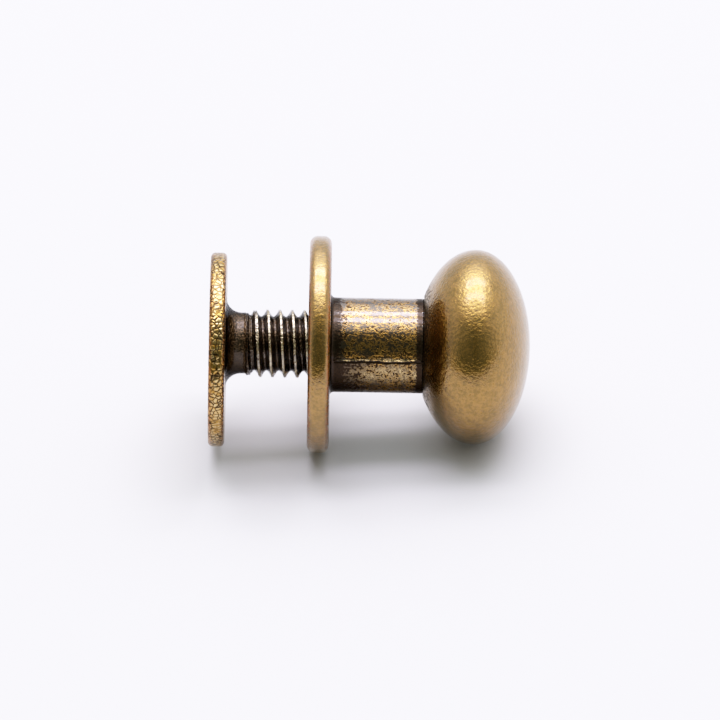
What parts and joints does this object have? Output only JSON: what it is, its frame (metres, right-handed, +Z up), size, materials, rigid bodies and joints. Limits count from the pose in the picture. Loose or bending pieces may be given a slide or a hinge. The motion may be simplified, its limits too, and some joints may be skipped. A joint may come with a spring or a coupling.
{
  "type": "binding barrel screw",
  "caption": "Two-piece binding screw: a flanged barrel post with a round knob, and a slotted flat-head screw that threads into it to clamp leather.",
  "frame": {"origin": "on the common axis, in the flange's clamp face, which faces the screw's head", "axes": "+X along the axis from the screw's head to the knob, +Z up as the pair lies on its side"},
  "size_m": [0.0165, 0.0112, 0.0112],
  "materials": {
    "post_brass": "antique plated, satin, rubbed bright on the crowns",
    "screw_brass": "antique plated, pitted rim, dark thread"
  },
  "bodies": {
    "post": {"post": "post_brass"},
    "screw": {"screw": "screw_brass"}
  },
  "joints": [
    {"name": "screw_travel", "type": "slide", "parent": "post", "child": "screw", "axis": [1, 0, 0], "range_m": [-0.00125, 0.00425]}
  ]
}
